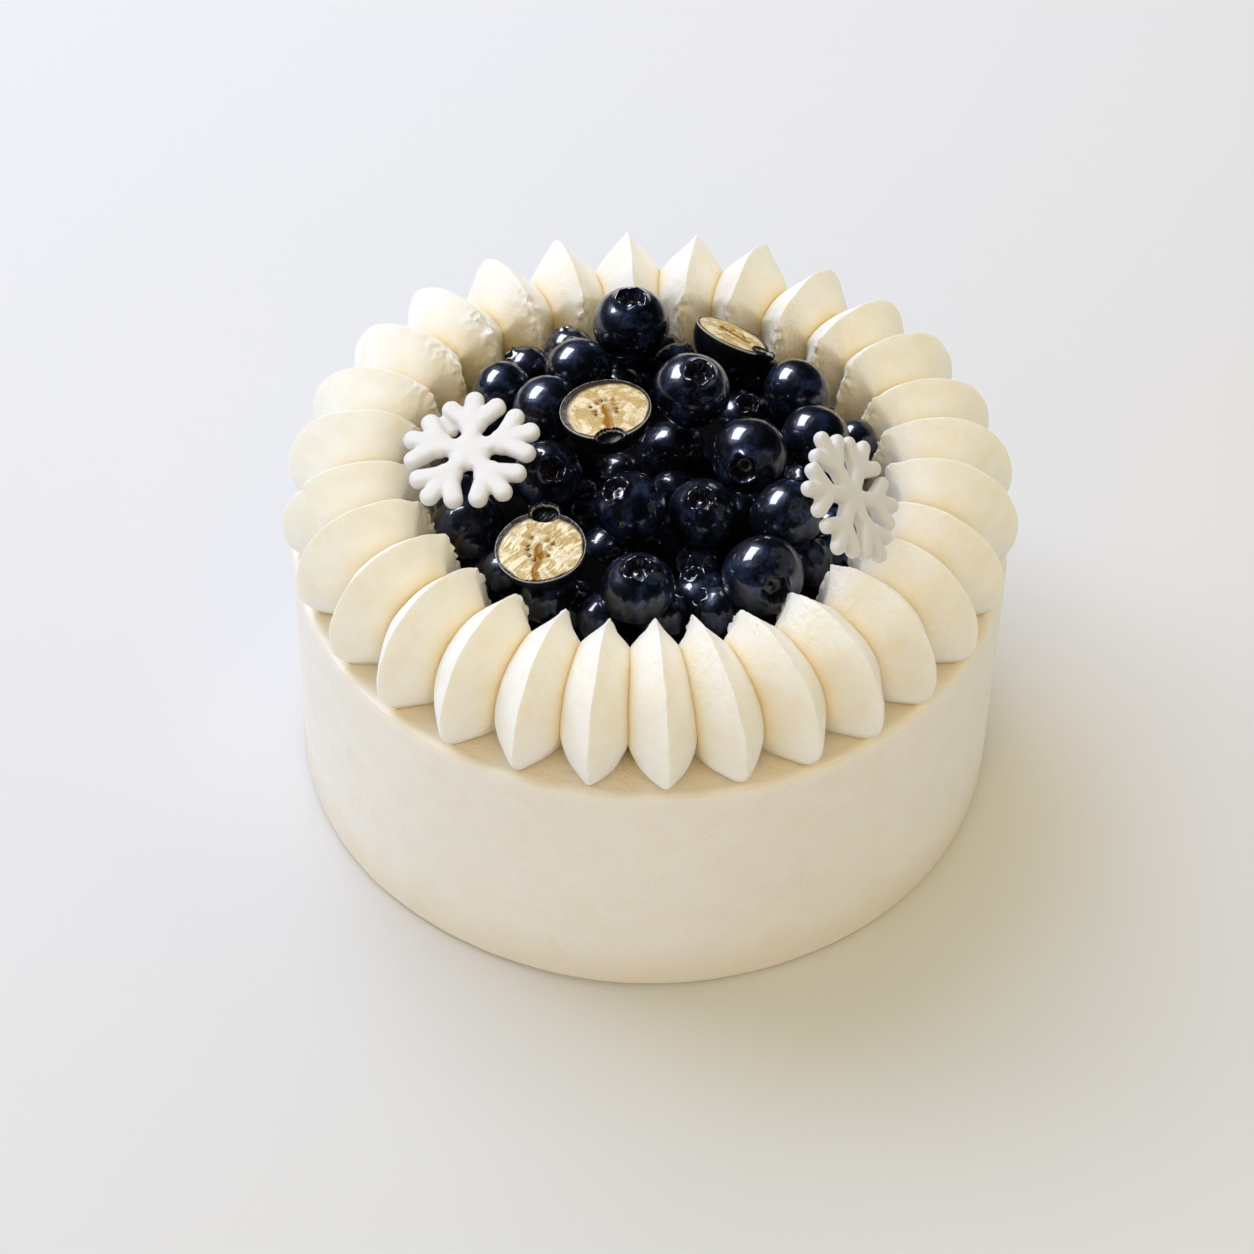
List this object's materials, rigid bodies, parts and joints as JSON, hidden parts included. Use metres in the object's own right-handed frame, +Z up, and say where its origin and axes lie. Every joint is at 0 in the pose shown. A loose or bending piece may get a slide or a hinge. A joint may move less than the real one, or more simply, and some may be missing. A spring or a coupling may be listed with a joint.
{
  "type": "blueberry shortcake",
  "caption": "Round cream-iced shortcake with a ring of tall piped cream petals, a heap of glazed whole and halved blueberries inside it and two snowflake ornaments.",
  "frame": {"origin": "centre of the cake's flat foot, on the surface that it stands on", "axes": "+Z up, -Y towards the front of the cake, +X to the right seen from the front"},
  "size_m": [0.1538, 0.1542, 0.1075],
  "materials": {
    "icing": "spread whipped cream, soft matte with fine pores and faint spatula streaks",
    "piped_cream": "smooth piped whipped cream, soft sheen, thin light ridges",
    "berry_skin": "blue-black berry skin with faint bloom under a thick clear glaze",
    "cut_berry": "wet pale yellow-green berry flesh with brown seeds, dark skin round it",
    "berry_filling": "dark glazed berries and juice at the bottom of the heap",
    "sugar": "matte white moulded sugar"
  },
  "bodies": {
    "root": {"cake_body": "icing", "berry_bed": "berry_filling", "cream_petal_01": "piped_cream", "cream_petal_02": "piped_cream", "cream_petal_03": "piped_cream", "cream_petal_04": "piped_cream", "cream_petal_05": "piped_cream", "cream_petal_06": "piped_cream", "cream_petal_07": "piped_cream", "cream_petal_08": "piped_cream", "cream_petal_09": "piped_cream", "cream_petal_10": "piped_cream", "cream_petal_11": "piped_cream", "cream_petal_12": "piped_cream", "cream_petal_13": "piped_cream", "cream_petal_14": "piped_cream", "cream_petal_15": "piped_cream", "cream_petal_16": "piped_cream", "cream_petal_17": "piped_cream", "cream_petal_18": "piped_cream", "cream_petal_19": "piped_cream", "cream_petal_20": "piped_cream", "cream_petal_21": "piped_cream", "cream_petal_22": "piped_cream", "cream_petal_23": "piped_cream", "cream_petal_24": "piped_cream", "cream_petal_25": "piped_cream", "cream_petal_26": "piped_cream", "cream_petal_27": "piped_cream", "cream_petal_28": "piped_cream", "cream_petal_29": "piped_cream", "blueberry_01": "berry_skin", "blueberry_02": "berry_skin", "blueberry_03": "berry_skin", "blueberry_04": "berry_skin", "blueberry_05": "berry_skin", "blueberry_06": "berry_skin", "blueberry_07": "berry_skin", "blueberry_08": "berry_skin", "blueberry_09": "berry_skin", "blueberry_10": "berry_skin", "blueberry_11": "berry_skin", "blueberry_12": "berry_skin", "blueberry_13": "berry_skin", "blueberry_14": "berry_skin", "blueberry_15": "berry_skin", "blueberry_16": "berry_skin", "blueberry_17": "berry_skin", "blueberry_18": "berry_skin", "blueberry_19": "berry_skin", "blueberry_20": "berry_skin", "blueberry_21": "berry_skin", "blueberry_22": "berry_skin", "blueberry_23": "berry_skin", "blueberry_24": "berry_skin", "half_blueberry_1": "cut_berry", "half_blueberry_2": "cut_berry", "half_blueberry_3": "cut_berry", "snowflake_left": "sugar", "snowflake_right": "sugar"}
  },
  "joints": []
}
